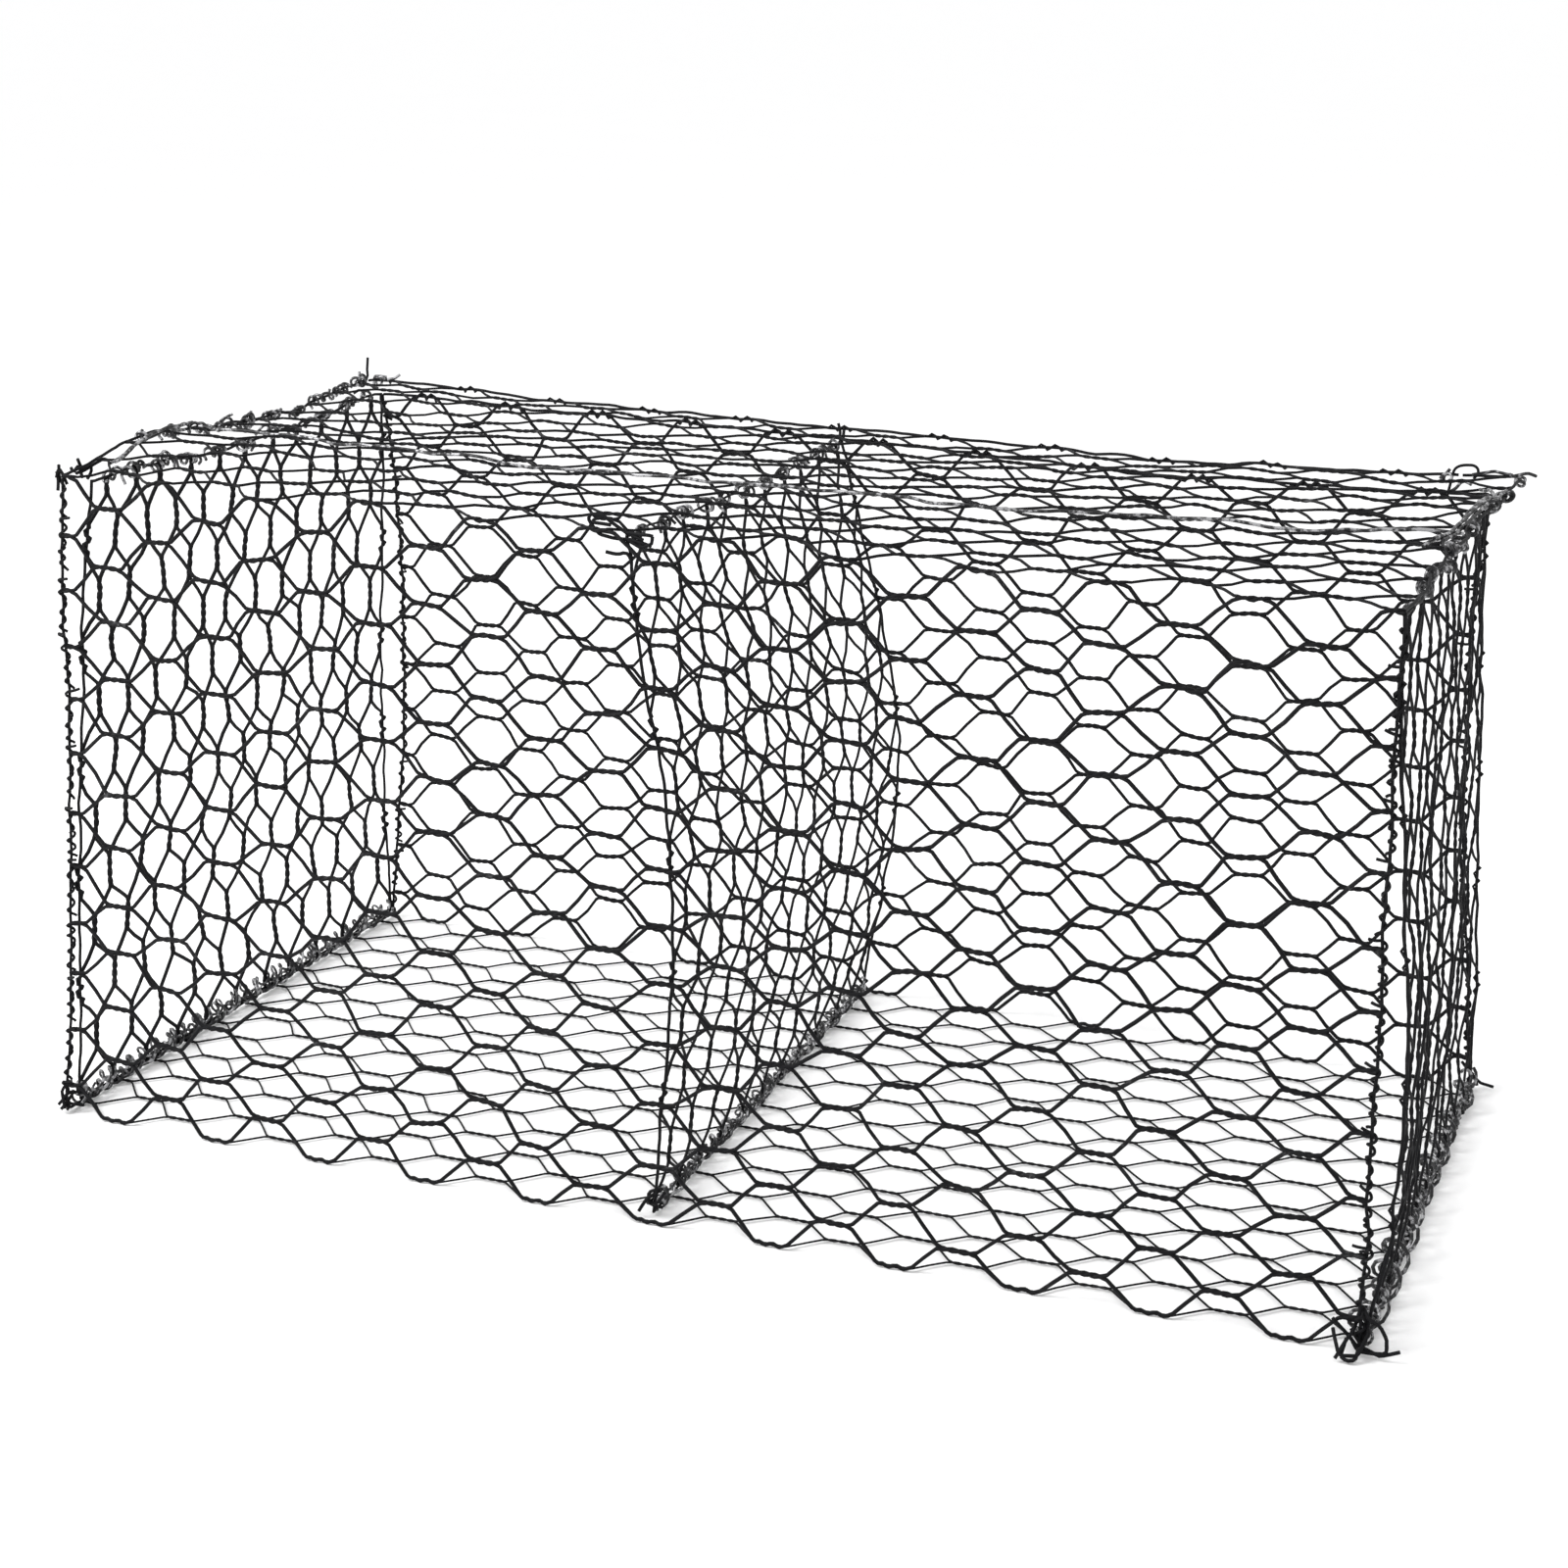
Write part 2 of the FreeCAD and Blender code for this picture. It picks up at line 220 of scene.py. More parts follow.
# the tree runs on a line through the points, and its result is kept as a plain mesh
def grow(name, tree, sizes, points=()):
    mesh = bpy.data.meshes.new(name)
    links = [(number, number + 1) for number in range(len(points) - 1)]
    mesh.from_pydata([tuple(point) for point in points], links, [])
    piece = bpy.data.objects.new(name, mesh)
    bpy.context.scene.collection.objects.link(piece)
    grown = piece.modifiers.new("grown", "NODES")
    grown.node_group = tree
    for item in tree.interface.items_tree:
        if item.item_type == "SOCKET" and item.in_out == "INPUT" and item.name in sizes:
            grown[item.identifier] = sizes[item.name]
    ready = piece.evaluated_get(bpy.context.evaluated_depsgraph_get())
    plain = bpy.data.meshes.new_from_object(ready)
    piece.modifiers.clear()
    piece.data = plain
    return piece


def gather(name, parts):
    whole = bmesh.new()
    for part in parts:
        whole.from_mesh(part.data)
    mesh = bpy.data.meshes.new(name)
    whole.to_mesh(mesh)
    whole.free()
    mesh.materials.append(parts[0].data.materials[0])
    for part in parts:
        bpy.data.objects.remove(part)
    piece = bpy.data.objects.new(name, mesh)
    bpy.context.scene.collection.objects.link(piece)
    return piece


def place(piece, body, slot, *nodes):
    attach(piece, body)
    if nodes:
        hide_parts(*nodes)
    print(piece.name, sum(len(face.vertices) - 2 for face in piece.data.polygons), "triangles")
    return piece


# the way the basket has leaned, bowed and buckled by hand: each piece takes its own share of it
settleSizes = {
    "bowMidFront": 0.026, "bowMidBack": 0.060, "footFront": 0.013, "footBack": 0.050,
    "topFront": 0.053, "topBack": 0.042, "topFrom": 0.45, "sag": 0.010, "sagSlope": 0.006,
    "waveRise": 0.010, "waveSwing": 0.012, "waveLength": 0.70, "waveFrom": -0.45, "waveFade": 5.0,
    "buckle": 0.013, "buckleScale": 4.5, "ripple": 0.006, "rippleScale": 16.0,
    "footFade": 12.0, "footHold": 0.4,  # near the floor the wires shift less, and never down
}
noiseMiddle = (0.5, 0.5, 0.5)
cornerPulls = {  # which corner, counted right, back and up, and how far it is pulled
    "frontLeftTop": ((0, 0, 1), (0.010, 0.0, 0.002)),
    "frontRightTop": ((1, 0, 1), (-0.006, 0.0, -0.013)),
    "backLeftFoot": ((0, 1, 0), (-0.012, 0.022, 0.0)),
    "backLeftTop": ((0, 1, 1), (0.0, 0.0, 0.006)),
    "backRightTop": ((1, 1, 1), (-0.044, 0.0, -0.026)),  # the lid doesn't follow this one
}
settleInputs = {
    name: ("Float", value) for name, value in (
        ("Slump", 1.0), ("Lean", 0.3), ("Left Bow", 0.0), ("Right Bow", 0.0), ("Front Bow", 0.0),
        ("Slack", 0.0), ("Droop", 0.0), ("Wave", 0.0), ("Bulge", 0.0))
}
wallSettle = {"Left Bow": 0.036, "Right Bow": 0.024, "Bulge": 0.033}
leftEndSettle = {"Left Bow": -0.010, "Slack": 0.050, "Droop": 0.020}  # loose at its front top
rightEndSettle = {"Front Bow": 0.26, "Droop": 0.014}
dividerSettle = {"Lean": 1.0, "Droop": 0.010}
lidSettle = {"Slump": 0.0, "Droop": -0.006, "Wave": 1.0}


def settleTree(sizes):
    start, given = startTree("settled", settleInputs)
    spot = start.node("GeometryNodeInputPosition")
    x, y, z = spot.parts()
    back, height = (y + 0.5).clamp(), z.clamp()
    front, under = 1 - back, 1 - height
    leftward, rightward = (0.0 - x).clamp(), x.clamp()
    inner = (1.0 - x * x).clamp()
    belly = (height * math.pi).sine()
    top = ((z - sizes["topFrom"]) / (1 - sizes["topFrom"])).clamp()
    top = top * top * (3 - top * 2)

    def between(name):
        return back * (sizes[name + "Back"] - sizes[name + "Front"]) + sizes[name + "Front"]

    lean = between("bowMid") * belly - between("foot") - between("top") * top
    sway = inner * given["Lean"] * lean
    sway = sway + back * belly * (leftward * given["Left Bow"] - rightward * given["Right Bow"])
    frontSway = under * under * given["Front Bow"] + height * given["Slack"]
    sway = sway + front * front * height * frontSway
    mound = (1 - y * y * 4).clamp()
    wave = ((y - sizes["waveFrom"]) * (2 * math.pi / sizes["waveLength"])).sine()
    wave = wave * sizes["waveSwing"] + sizes["waveRise"]
    lift = wave * given["Wave"] * leftward * leftward * (back * sizes["waveFade"]).clamp()
    lift = lift - mound * mound * z * z * z * given["Droop"]
    sag = x * sizes["sagSlope"] + sizes["sag"]
    lift = lift - back * height * (1 - x * x * x * x).clamp() * sag
    across = (x + 1) * 0.5
    bulge = (1 - across * across).clamp() * front * under * under * under * given["Bulge"]

    def noise(name):
        made = start.node("ShaderNodeTexNoise", inputs={
            "Vector": spot, "Scale": sizes[name + "Scale"], "Detail": 1.0}, out=1)
        return made.vector("SUBTRACT", made, noiseMiddle).scaled(sizes[name] * 2)

    shift = start.vector("ADD", noise("buckle"), noise("ripple"))
    foot = (z * sizes["footFade"]).clamp()
    sideways = foot * (1 - sizes["footHold"]) + sizes["footHold"]
    shift = shift.vector("MULTIPLY", shift, start.join(sideways, sideways, foot))
    shift = shift.vector("ADD", shift, start.join(sway, 0.0 - bulge, lift))
    shares = across.clamp(), back, height
    for name, (corner, pull) in cornerPulls.items():
        weight = given["Slump"] if name == "backRightTop" else 1.0
        for share, side in zip(shares, corner):
            weight = weight * (share if side else 1 - share)
        shift = shift.vector("ADD", shift, start.node(
            "ShaderNodeVectorMath", {"operation": "SCALE"}, {0: pull, 3: weight}))
    moved = start.node("GeometryNodeSetPosition", inputs={
        "Geometry": given["Geometry"], "Offset": shift})
    return endTree(start, moved)


settled = settleTree(settleSizes)


# a curve becomes a round wire, after it has moved with the rest
def roundWire(start, given, curve, sides):
    moved = start.node("GeometryNodeGroup", {"node_tree": settled}, {
        "Geometry": curve, **{name: given[name] for name in settleInputs}})
    radius, finish = given["Wire Radius"], given["Finish"]
    ring = start.node("GeometryNodeCurvePrimitiveCircle", {"mode": "RADIUS"}, {
        "Resolution": sides, "Radius": radius})
    tube = start.node("GeometryNodeCurveToMesh", inputs={
        "Curve": moved, "Profile Curve": ring, "Fill Caps": True})
    smooth = start.node("GeometryNodeSetShadeSmooth", inputs={"Geometry": tube})
    real = start.node("GeometryNodeRealizeInstances", inputs={"Geometry": smooth})
    return start.node("GeometryNodeSetMaterial", inputs={"Geometry": real, "Material": finish})


# the double-twisted netting
weaveSteps = {
    "twist": 8, "open": 3, "sides": 6,
    "bendAt": 0.12,  # how far into the open stretch the wire's bend reaches
    "halfTurns": 3, "edgeHalfTurns": 4,  # in a twist, and round a fold or an edge wire
    "nudge": 0.0001,  # keeps the first point of a column on its own side of the rounding
}


def weaveTree(steps):
    start, given = startTree("netting", {
        "Columns": ("Int", 22), "Half Rows": ("Int", 22), "Column Pitch": ("Float", 0.09),
        "Row Pitch": ("Float", 0.09), "Twist Length": ("Float", 0.04),
        "Wire Radius": ("Float", 0.002), "Twist Radius": ("Float", 0.002),
        "Unevenness": ("Float", 0.0), "Phase": ("Float", 0.0),
        "First Coil": ("Float", 0.0018), "Last Coil": ("Float", 0.0018),
        "First Angle": ("Float", 0.0), "Last Angle": ("Float", 0.0), "Seed": ("Float", 0.0),
        "Place": ("Vector", None), "Turn": ("Vector", None), "Finish": ("Material", None),
        **settleInputs,
    })
    perColumn = steps["twist"] + steps["open"] + 1
    rows = given["Half Rows"]
    pitch = given["Column Pitch"]
    twist = given["Twist Length"]
    count = given["Columns"] * perColumn + 1
    line = start.node("GeometryNodeCurvePrimitiveLine")
    line = start.node("GeometryNodeResampleCurve", {"mode": "COUNT"}, {
        "Curve": line, "Count": count})
    wires = start.node("GeometryNodeDuplicateElements", {"domain": "SPLINE"}, {
        "Geometry": line, "Amount": rows})
    wire = Flow(start.tree, wires.socket.node.outputs[1])
    index = start.node("GeometryNodeSplineParameter", out="Index") + steps["twist"] // 2
    column = (index / perColumn + steps["nudge"]).floor()
    step = index - column * perColumn

    # each wire climbs one half row a column, and turns back at the first and the last row
    def rowAt(columnNow):
        return rows - abs(rows - (wire * 2 + columnNow + given["Phase"]) % (rows * 2))

    def jolt(columnNow, row, inside):
        kept = (columnNow > 0.5) * (columnNow < given["Columns"] - 0.5)
        key = start.join(columnNow, row, given["Seed"])
        value = start.node("ShaderNodeTexWhiteNoise", {"noise_dimensions": "3D"}, {"Vector": key},
                           out="Color")
        along, across, _ = value.vector("SUBTRACT", value, noiseMiddle).parts()
        return along * given["Unevenness"] * inside * kept, across * given["Unevenness"] * inside

    row, nextRow = rowAt(column), rowAt(column + 1)
    rising = (wire * 2 + column + given["Phase"]) % (rows * 2) < rows
    first, last = row < 0.5, row > rows - 0.5
    inside = 1.0 - first - last
    nextInside = 1.0 - (nextRow < 0.5) - (nextRow > rows - 0.5)
    joltAlong, joltAcross = jolt(column, row, inside)
    nextAlong, nextAcross = jolt(column + 1, nextRow, nextInside)
    share = step / steps["twist"]
    angle = inside * (0.5 - rising) * math.pi
    angle = angle + first * given["First Angle"] + last * given["Last Angle"]
    halfTurns = inside * steps["halfTurns"] + (1 - inside) * steps["edgeHalfTurns"]
    angle = angle + halfTurns * math.pi * share
    coil = inside * given["Twist Radius"] + first * given["First Coil"] + last * given["Last Coil"]
    alongTwist = column * pitch - twist / 2 + twist * share + joltAlong
    acrossTwist = row * given["Row Pitch"] / 2 + coil * angle.sine() + joltAcross
    openStep = (1 - 2 * steps["bendAt"]) / (steps["open"] - 1)
    gap = (step - steps["twist"] - 1) * openStep + steps["bendAt"]
    soft = gap * 0.5 + gap * gap * (3 - gap * 2) * 0.5
    alongOpen = column * pitch + twist / 2 + (pitch - twist) * gap
    alongOpen = alongOpen + joltAlong.blendTo(nextAlong, gap)
    acrossOpen = row.blendTo(nextRow, soft) * given["Row Pitch"] / 2
    acrossOpen = acrossOpen + joltAcross.blendTo(nextAcross, gap)
    loose = step > steps["twist"] + 0.5
    spot = start.join(
        alongTwist.blendTo(alongOpen, loose),
        acrossTwist.blendTo(acrossOpen, loose),
        coil * angle.cosine() * (1 - loose),
    )
    woven = start.node("GeometryNodeSetPosition", inputs={"Geometry": wires, "Position": spot})
    woven = start.node("GeometryNodeTransform", inputs={
        "Geometry": woven, "Translation": given["Place"], "Rotation": given["Turn"]})
    return endTree(start, roundWire(start, given, woven, steps["sides"]))


nettingTree = weaveTree(weaveSteps)
eighthTurn = math.pi / 4
standing = (math.pi / 2, 0.0, 0.0)
crossing = (0.0, -math.pi / 2, 0.0)
nettingSizes = {
    "wire": 0.0030, "pair": 0.0015, "edge": 0.0024, "twist": 0.043, "uneven": 0.009,
    "left": -0.9972, "length": 1.9944, "foot": 0.0045, "front": -0.4985, "back": 0.4981,
    "fold": 1.0015, "lidHeight": 1.0035, "backTop": 0.9978, "lidBack": 0.4978,
    "endWall": 0.9975, "endPost": 0.4931, "endFoot": 0.0125, "postTop": 0.9955,
    "dividerPost": 0.4938, "dividerFoot": 0.0085,
}


# firstEdge and lastEdge: what the outer rows wind round, and from which angle, in eighths of a turn
def netting(name, body, node, columns, rows, span, rise, corner, turn, firstEdge, lastEdge,
            seed, settle, **own):
    sizes = {**nettingSizes, "phase": 0, **own}
    coils = {"fold": sizes["pair"], "edge": sizes["wire"] + sizes["edge"]}
    piece = grow(name, nettingTree, {
        "Columns": columns, "Half Rows": rows, "Column Pitch": span / columns,
        "Row Pitch": rise * 2 / rows, "Twist Length": sizes["twist"], "Wire Radius": sizes["wire"],
        "Twist Radius": sizes["pair"], "Unevenness": sizes["uneven"],
        "First Coil": coils[firstEdge[0]], "First Angle": firstEdge[1] * eighthTurn,
        "Last Coil": coils[lastEdge[0]], "Last Angle": lastEdge[1] * eighthTurn,
        "Phase": sizes["phase"], "Seed": seed, "Place": corner, "Turn": turn,
        "Finish": meshFinish, **settle,
    })
    return place(piece, body, "mesh_wire", node)


# the foot folds carry their twists at the odd columns, the lid fold at the even ones
net = nettingSizes
netting("baseNetting", "basket", "base_mesh", 22, 22, net["length"], net["back"] - net["front"],
        (net["left"], net["front"], net["foot"]), (0, 0, 0), ("fold", 3), ("fold", 5),
        1.0, wallSettle, phase=1, wire=0.0016, pair=0.0010)
netting("frontNetting", "basket", "front_mesh", 22, 23, net["length"], net["fold"] - net["foot"],
        (net["left"], net["front"], net["foot"]), standing, ("fold", 1), ("fold", 7),
        2.0, wallSettle, phase=1)
netting("backNetting", "basket", "back_mesh", 22, 22, net["length"], net["backTop"] - net["foot"],
        (net["left"], net["back"], net["foot"]), standing, ("fold", 3), ("edge", 6),
        3.0, wallSettle, phase=1)
netting("lidNetting", "lid", "lid_mesh", 22, 22, net["length"], net["lidBack"] - net["front"],
        (net["left"], net["front"], net["lidHeight"]), (0, 0, 0), ("fold", 1), ("edge", 6),
        4.0, lidSettle, wire=0.0021, pair=0.0012)
for name, node, x, post, foot, seed, settle, wire in (
    ("leftEndNetting", "left_end_mesh", -net["endWall"], net["endPost"], net["endFoot"],
     5.0, leftEndSettle, 0.0032),
    ("dividerNetting", "diaphragm_mesh", 0.0, net["dividerPost"], net["dividerFoot"],
     6.0, dividerSettle, 0.0024),
    ("rightEndNetting", "right_end_mesh", net["endWall"], net["endPost"], net["endFoot"],
     7.0, rightEndSettle, 0.0021),
):
    netting(name, "basket", node, 11, 22, net["postTop"] - foot, 2 * post,
            (x, -post, foot), crossing, ("edge", 2), ("edge", 6),
            seed, settle, wire=wire, pair=wire / 2)
print("netting woven")


# edge wires
edgeSteps = {"bendPoints": 5, "tremorScale": 22.0}


def edgeTree(steps):
    start, given = startTree("edgeWire", {
        "Wire Radius": ("Float", 0.0022), "Bend Radius": ("Float", 0.006),
        "Tremor": ("Float", 0.001), "Step": ("Float", 0.012), "Sides": ("Int", 8),
        "Seed": ("Float", 0.0), "Finish": ("Material", None),
        **settleInputs,
    })
    curve = start.node("GeometryNodeMeshToCurve", inputs={"Mesh": given["Geometry"]})
    curve = start.node("GeometryNodeFilletCurve", {"mode": "POLY"}, {
        "Curve": curve, "Count": steps["bendPoints"], "Radius": given["Bend Radius"],
        "Limit Radius": True})
    curve = start.node("GeometryNodeSubdivideCurve", inputs={"Curve": curve, "Cuts": 1})
    curve = start.node("GeometryNodeResampleCurve", {"mode": "LENGTH"}, {
        "Curve": curve, "Length": given["Step"]})
    spot = start.node("GeometryNodeInputPosition")
    shiver = start.node("ShaderNodeTexNoise", {"noise_dimensions": "4D"}, {
        "Vector": spot, "W": given["Seed"], "Scale": steps["tremorScale"], "Detail": 1.0}, out=1)
    shiver = shiver.vector("SUBTRACT", shiver, noiseMiddle).scaled(given["Tremor"] * 2)
    curve = start.node("GeometryNodeSetPosition", inputs={"Geometry": curve, "Offset": shiver})
    return endTree(start, roundWire(start, given, curve, given["Sides"]))


edgeWireTree = edgeTree(edgeSteps)
edgeSizes = {
    "side": 0.9978, "face": 0.4978, "floorRun": 0.0062, "top": 0.9978, "topInside": 0.9953,
    "endPost": 0.4931, "endFoot": 0.0107, "dividerPost": 0.4938, "dividerFoot": 0.0062,
    "endPostFoot": 0.010, "dividerPostFoot": 0.006, "postTop": 1.0, "dividerWire": 0.0018,
    "lid": 1.0035, "tailAt": 0.440, "tailTop": 1.0485, "hookAt": 0.910,
    "hookStep": 0.0042, "hookWire": 0.0023,  # the hook passes just inside the back wire
    "lap": 0.006, "graze": 0.001, "tailLean": 0.002,  # how the lid's wires pass each other
}
hookBend = ((-0.013, -0.031), (-0.005, 0.018), (0.025, 0.018), (0.028, 0.003), (0.021, -0.005))


def edgeWire(points, seed, settle, finish=edgeFinish,
             radius=0.0024, bend=0.006, tremor=0.0012, step=0.012):
    return grow("run", edgeWireTree, {
        "Wire Radius": radius, "Bend Radius": bend, "Tremor": tremor, "Step": step, "Seed": seed,
        "Finish": finish, **settle,
    }, points)


edge = edgeSizes
runs = []
for side, settle in ((-1, leftEndSettle), (1, rightEndSettle)):
    x, post, face = side * edge["side"], edge["endPost"], edge["face"]
    runs.append(edgeWire([
        (x, -face, edge["top"]), (x, -face, edge["floorRun"]), (x, face, edge["floorRun"]),
        (x, face, edge["top"])], 1.0 + side, wallSettle))
    for y in (-post, post):
        runs.append(edgeWire([(x, y, edge["endPostFoot"]), (x, y, edge["postTop"])],
                             y * 9 + side, settle))
    for height, seed in ((edge["endFoot"], 4.0), (edge["top"], 5.0)):
        runs.append(edgeWire([(x, -post, height), (x, post, height)], seed, settle))
post = edge["dividerPost"]
for y in (-post, post):
    runs.append(edgeWire([(0, y, edge["dividerPostFoot"]), (0, y, edge["postTop"])],
                         6.0 + y, dividerSettle))
for height, seed in ((edge["dividerFoot"], 7.0), (edge["top"], 8.0)):
    runs.append(edgeWire([(0, -post, height), (0, post, height)], seed, dividerSettle,
                         radius=edge["dividerWire"]))
runs.append(edgeWire([(-edge["topInside"], edge["face"], edge["top"]),
                      (edge["topInside"], edge["face"], edge["top"])], 9.0, wallSettle))
place(gather("basketEdges", runs), "basket", "edge_wire",
      "body_wire_left", "body_wire_right", "back_top_wire",
      "left_end_front_post", "left_end_back_post", "left_end_bottom_wire", "left_end_top_wire",
      "right_end_front_post", "right_end_back_post", "right_end_bottom_wire", "right_end_top_wire",
      "diaphragm_front_post", "diaphragm_back_post", "diaphragm_bottom_wire", "diaphragm_top_wire")

lidHeight, hook = edge["lid"], edge["hookAt"]
left, right, front, back = -edge["side"], edge["side"], -edge["face"], edge["face"]
lidRuns = [
    edgeWire([(left, front, lidHeight), (left, edge["tailAt"], lidHeight),
              (left + edge["tailLean"], edge["tailAt"] + edge["graze"], edge["tailTop"])],
             11.0, lidSettle),
    edgeWire([(right, front, lidHeight), (right, back, lidHeight),
              (hook + edge["lap"], back - edge["graze"], lidHeight)], 12.0, lidSettle),
    edgeWire([(left, edge["tailAt"] + edge["lap"], lidHeight), (left, back, lidHeight),
              (hook, back, lidHeight)], 13.0, lidSettle),
    edgeWire(
        [(hook + along, back - edge["hookStep"], lidHeight + rise) for along, rise in hookBend],
        14.0, lidSettle, radius=edge["hookWire"], bend=0.014, tremor=0.0004, step=0.003),
]
place(gather("lidEdges", lidRuns), "lid", "edge_wire",
      "lid_wire_left", "lid_wire_right", "lid_back_wire")
print("edge wires bent")


# wire ends wound on the edge wires: a coil, then a barb that stands off
coilSteps = {
    "coil": 30, "barb": 3, "sides": 5, "barbRise": 0.003, "tiltSeed": 3, "sizeSeed": 7,
    "least": (1.1, 1.05, 0.95), "most": (1.1, 1.0, 0.9),  # a coil's size, before the spread
}


def windingTree(steps):
    start, given = startTree("winding", {
        "Spots": ("Int", 12), "Turns": ("Float", 3.5), "Coil Radius": ("Float", 0.0041),
        "Wire Radius": ("Float", 0.0018), "Reach": ("Float", 0.04), "Barb": ("Float", 0.012),
        "Stub": ("Float", 0.004), "Swing": ("Float", 0.6), "Tilt": ("Float", 0.05),
        "Spread": ("Float", 0.2), "Heading": ("Vector", None), "Seed": ("Int", 0),
        "Finish": ("Material", None), **settleInputs,
    })
    line = start.node("GeometryNodeCurvePrimitiveLine")
    line = start.node("GeometryNodeResampleCurve", {"mode": "COUNT"}, {
        "Curve": line, "Count": steps["coil"] + steps["barb"] + 1})
    index = start.node("GeometryNodeSplineParameter", out="Index")
    share = (index / steps["coil"]).clamp()
    angle = (share - 1) * given["Turns"] * (2 * math.pi) - math.pi / 2
    barb = ((index - steps["coil"]) / steps["barb"]).clamp()
    path = start.node("GeometryNodeMeshToCurve", inputs={"Mesh": given["Geometry"]})
    path = start.node("GeometryNodeResampleCurve", {"mode": "COUNT"}, {
        "Curve": path, "Count": given["Spots"]})
    number = start.node("GeometryNodeInputIndex")
    notLast, notFirst = number < given["Spots"] - 1.5, number > 0.5
    placed = []
    for way, (length, turned, chosen) in enumerate((
        (given["Barb"], 0.0, notLast), (given["Stub"], math.pi, notFirst),
    )):
        spot = start.join(
            angle.cosine() * given["Coil Radius"] * (1 - barb) + barb * length,
            angle.sine() * given["Coil Radius"],
            share * given["Reach"] + barb * barb * steps["barbRise"],
        )
        coil = start.node("GeometryNodeSetPosition", inputs={"Geometry": line, "Position": spot})
        coil = start.node("GeometryNodeTransform", inputs={
            "Geometry": coil, "Rotation": (turned, 0.0, 0.0)})
        swing = start.node("FunctionNodeRandomValue", {"data_type": "FLOAT"}, {
            2: 0.0 - given["Swing"], 3: given["Swing"], "Seed": given["Seed"] + way}, out=1)
        tilt = start.node("FunctionNodeRandomValue", {"data_type": "FLOAT_VECTOR"}, {
            "Min": (-1.0, -1.0, 0.0), "Max": (1.0, 1.0, 0.0),
            "Seed": given["Seed"] + way + steps["tiltSeed"]})
        tiltX, tiltY, _ = tilt.scaled(given["Tilt"]).parts()
        heading = start.node("FunctionNodeRotateRotation", {"rotation_space": "LOCAL"}, {
            "Rotation": given["Heading"], "Rotate By": start.join(tiltX, tiltY, swing)})
        spread = given["Spread"]
        size = start.node("FunctionNodeRandomValue", {"data_type": "FLOAT_VECTOR"}, {
            "Min": start.join(*(least - spread for least in steps["least"])),
            "Max": start.join(*(spread + most for most in steps["most"])),
            "Seed": given["Seed"] + way + steps["sizeSeed"]})
        placed.append(start.node("GeometryNodeInstanceOnPoints", inputs={
            "Points": path, "Selection": chosen, "Instance": coil, "Rotation": heading,
            "Scale": size}))
    both = start.node("GeometryNodeJoinGeometry", inputs={"Geometry": placed[0]})
    start.tree.links.new(placed[1].socket, both.socket.node.inputs[0])
    real = start.node("GeometryNodeRealizeInstances", inputs={"Geometry": both})
    return endTree(start, roundWire(start, given, real, steps["sides"]))


windings = windingTree(coilSteps)
windingSizes = {
    "turns": 1.9, "coil": 0.0042, "wire": 0.0023, "reach": 0.043, "barb": 0.015, "stub": 0.006,
    "swing": 0.6, "tilt": 0.05, "spread": 0.2, "finish": meshFinish,
}
looseEnds = {
    "turns": 1.7, "coil": 0.0072, "wire": 0.0026, "reach": 0.026, "barb": 0.009, "stub": 0.008,
    "swing": 1.4, "tilt": 0.34, "spread": 0.4, "finish": lacingWearAndHighlightFinish,
}
footEnds = {
    "turns": 1.6, "coil": 0.0052, "wire": 0.0021, "barb": 0.008, "stub": 0.006, "tilt": 0.04,
    "finish": lacingWearAndHighlightFinish,
}
sparseEnds = {**looseEnds, "turns": 1.4, "coil": 0.0075, "wire": 0.0023, "reach": 0.018}
endRuns = {  # how many wire ends each run carries, and how far the runs stop short
    "post": 12, "foot": 12, "leftTop": 11, "rightTop": 6, "dividerTop": 11,
    "postRise": 0.003, "postTop": 0.984, "footRise": 0.002, "dividerFootRise": 0.006,
    "topInset": 0.045, "lidBack": 0.004,
    "lidFront": 0.215,  # nearer the fold they would meet the front posts when the lid hangs open
}


# the coil runs along the local Z axis, and its barb points along the local X axis
def winding(points, spots, inward, seed, settle, **own):
    along = (Vector(points[1]) - Vector(points[0])).normalized()
    inward = Vector(inward)
    heading = Matrix((inward, along.cross(inward), along)).transposed().to_euler()
    sizes = {**windingSizes, **own}
    return grow("winding", windings, {
        "Spots": spots, "Turns": sizes["turns"], "Coil Radius": sizes["coil"],
        "Wire Radius": sizes["wire"], "Reach": sizes["reach"], "Barb": sizes["barb"],
        "Stub": sizes["stub"], "Swing": sizes["swing"], "Tilt": sizes["tilt"],
        "Spread": sizes["spread"], "Heading": tuple(heading), "Seed": seed,
        "Finish": sizes["finish"], **settle,
    }, points)


up, down = (0, 0, 1), (0, 0, -1)
wound, looped, lidLooped = [], [], []
for side, settle, topEnds in (
    (-1, leftEndSettle, endRuns["leftTop"]), (1, rightEndSettle, endRuns["rightTop"]),
):
    x, post, top = side * edge["side"], edge["endPost"], edge["top"]
    low, high = net["foot"] + endRuns["postRise"], endRuns["postTop"]
    for y, seed in ((front, 20), (back, 30)):
        wound.append(winding([(x, y, low), (x, y, high)], endRuns["post"], (-side, 0, 0),
                             seed + side, wallSettle))
    foot = edge["endFoot"] + endRuns["footRise"]
    looped.append(winding([(x, -post, foot), (x, post, foot)], endRuns["foot"], up,
                          50 + side, settle, **footEnds))
    inner = post - endRuns["topInset"]
    looped.append(winding([(x, -inner, top), (x, inner, top)], topEnds, down,
                          60 + side, settle, **looseEnds))
    lidLooped.append(winding(
        [(x, front + endRuns["lidFront"], lidHeight), (x, back - endRuns["lidBack"], lidHeight)],
        topEnds, (-side * 0.8, 0, 0.6), 90 + side, lidSettle, **looseEnds))
